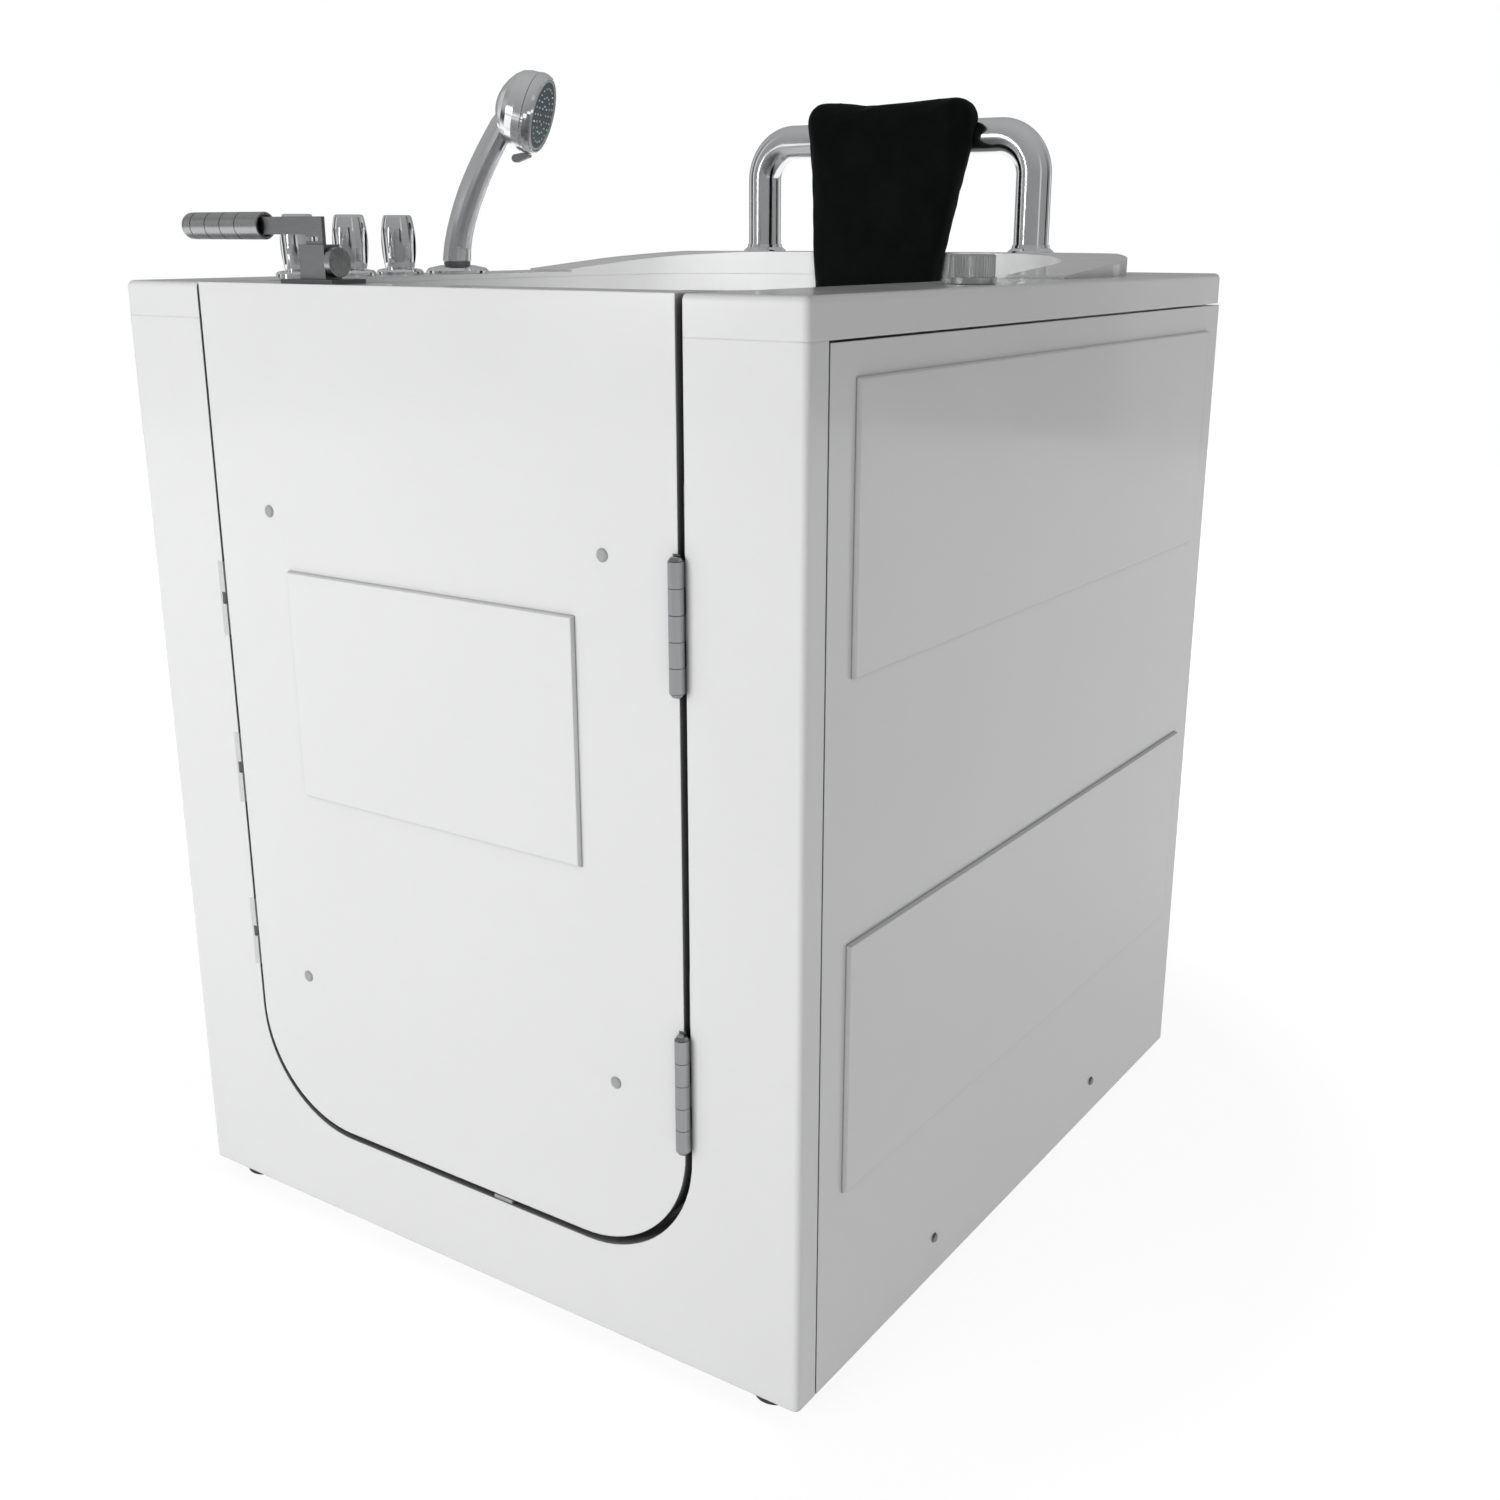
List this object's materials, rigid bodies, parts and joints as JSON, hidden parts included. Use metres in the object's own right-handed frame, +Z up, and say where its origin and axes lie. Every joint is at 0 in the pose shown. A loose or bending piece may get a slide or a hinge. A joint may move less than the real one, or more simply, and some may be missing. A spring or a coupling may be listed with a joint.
{
  "type": "walk-in bathtub",
  "caption": "Upright walk-in bathtub with an outward hinged door, lever latch, built-in seat, deck taps, hand shower on a holder, grab bar and padded headrest.",
  "frame": {"origin": "on the floor under the middle of the shell footprint", "axes": "X right along the door face, Y back towards the seat, Z up"},
  "size_m": [0.824, 0.927, 1.2379],
  "materials": {
    "acrylic": "glossy moulded white acrylic",
    "frame_steel": "plain steel tube and fasteners",
    "fittings_steel": "brushed stainless steel",
    "chrome": "polished chrome",
    "brass": "plain brass",
    "copper": "plain copper pipe",
    "rubber": "dark rubber",
    "waste_plastic": "grey waste pipe",
    "grey_plastic": "light grey moulded trim",
    "dark_plastic": "dark moulded plastic",
    "cushion": "soft matte black skin"
  },
  "bodies": {
    "tub": {"deck": "acrylic", "front_apron": "acrylic", "basin": "acrylic", "right_panel": "acrylic", "left_panel": "acrylic", "panel_screws": "grey_plastic", "frame_side_rails": "frame_steel", "frame_cross_rails": "frame_steel", "frame_uprights": "frame_steel", "frame_top_rails": "frame_steel", "basin_supports": "frame_steel", "foot_pads": "rubber", "foot_studs": "frame_steel", "foot_locknuts": "frame_steel", "drain_body": "chrome", "drain_pipe": "waste_plastic", "overflow_cover": "chrome", "overflow_pipe": "waste_plastic", "drain_cable": "rubber", "tap_flanges": "chrome", "valve_bodies": "brass", "supply_pipes": "copper", "inlet_spout": "chrome", "handset_holder": "chrome", "grab_bar": "chrome", "grab_bar_flanges": "chrome", "grab_bar_nuts": "frame_steel", "jamb_hinge_leaves": "fittings_steel", "hinge_pins": "fittings_steel", "keepers": "grey_plastic", "keeper_screws": "frame_steel", "sill_plate": "grey_plastic"},
    "door": {"door_outer": "acrylic", "door_inner": "acrylic", "door_seal": "rubber", "door_caps": "grey_plastic", "door_hinge_leaves": "fittings_steel", "latch_plate": "fittings_steel", "latch_housing": "fittings_steel"},
    "lever": {"latch_axle": "fittings_steel", "latch_lever": "fittings_steel", "latch_grip": "fittings_steel"},
    "latch_rod": {"latch_bar": "frame_steel", "latch_studs": "frame_steel"},
    "hot_tap": {"hot_knob": "chrome"},
    "diverter": {"diverter_knob": "chrome"},
    "cold_tap": {"cold_knob": "chrome"},
    "drain_dial": {"drain_knob": "fittings_steel"},
    "plug": {"drain_plug": "chrome"},
    "swivel": {"handset_collar": "rubber"},
    "handset": {"handset_body": "chrome", "spray_face": "dark_plastic"},
    "selector": {"handset_ring": "chrome", "spray_tab": "grey_plastic"},
    "pillow": {"headrest": "cushion", "headrest_clips": "dark_plastic"}
  },
  "joints": [
    {"name": "door_swing", "type": "hinge", "parent": "tub", "child": "door", "pos_m": [0.2845, -0.4625, 0.6], "axis": [0, 0, 1], "range_deg": [0, 135]},
    {"name": "lever_turn", "type": "hinge", "parent": "door", "child": "lever", "pos_m": [-0.1525, -0.4275, 1.034], "axis": [-1, 0, 0], "range_deg": [0, 85]},
    {"name": "latch_slide", "type": "slide", "parent": "door", "child": "latch_rod", "axis": [0, 0, 1], "range_m": [-0.01892, 0]},
    {"name": "hot_turn", "type": "hinge", "parent": "tub", "child": "hot_tap", "pos_m": [-0.3615, -0.2675, 1.015], "axis": [0, 0, 1], "range_deg": [0, 90]},
    {"name": "diverter_turn", "type": "hinge", "parent": "tub", "child": "diverter", "pos_m": [-0.3615, -0.1935, 1.015], "axis": [0, 0, 1], "range_deg": [0, 90]},
    {"name": "cold_turn", "type": "hinge", "parent": "tub", "child": "cold_tap", "pos_m": [-0.3615, -0.1195, 1.015], "axis": [0, 0, 1], "range_deg": [-90, 0]},
    {"name": "drain_turn", "type": "hinge", "parent": "tub", "child": "drain_dial", "pos_m": [0.3635, -0.1025, 1.015], "axis": [0, 0, 1], "range_deg": [0, 90]},
    {"name": "plug_lift", "type": "slide", "parent": "tub", "child": "plug", "axis": [0, 0, 1], "range_m": [0, 0.008]},
    {"name": "handset_turn", "type": "hinge", "parent": "tub", "child": "swivel", "pos_m": [-0.3495, -0.0375, 1.015], "axis": [0, 0, 1], "range_deg": [-60, 60]},
    {"name": "handset_lift", "type": "slide", "parent": "swivel", "child": "handset", "axis": [0, 0, 1], "range_m": [0, 0.25]},
    {"name": "selector_turn", "type": "hinge", "parent": "handset", "child": "selector", "pos_m": [-0.25906, 0.00277, 1.1928], "axis": [0.8782, 0.391, -0.2756], "range_deg": [-30, 30]},
    {"name": "headrest_tilt", "type": "hinge", "parent": "tub", "child": "pillow", "pos_m": [0.01, 0.3995, 1.173], "axis": [-1, 0, 0], "range_deg": [0, 20]}
  ],
  "couplings": [
    {"joint": "lever_turn", "follows": "latch_slide", "rad_per_m": -78.425},
    {"joint": "drain_turn", "follows": "plug_lift", "rad_per_m": 196.35}
  ]
}
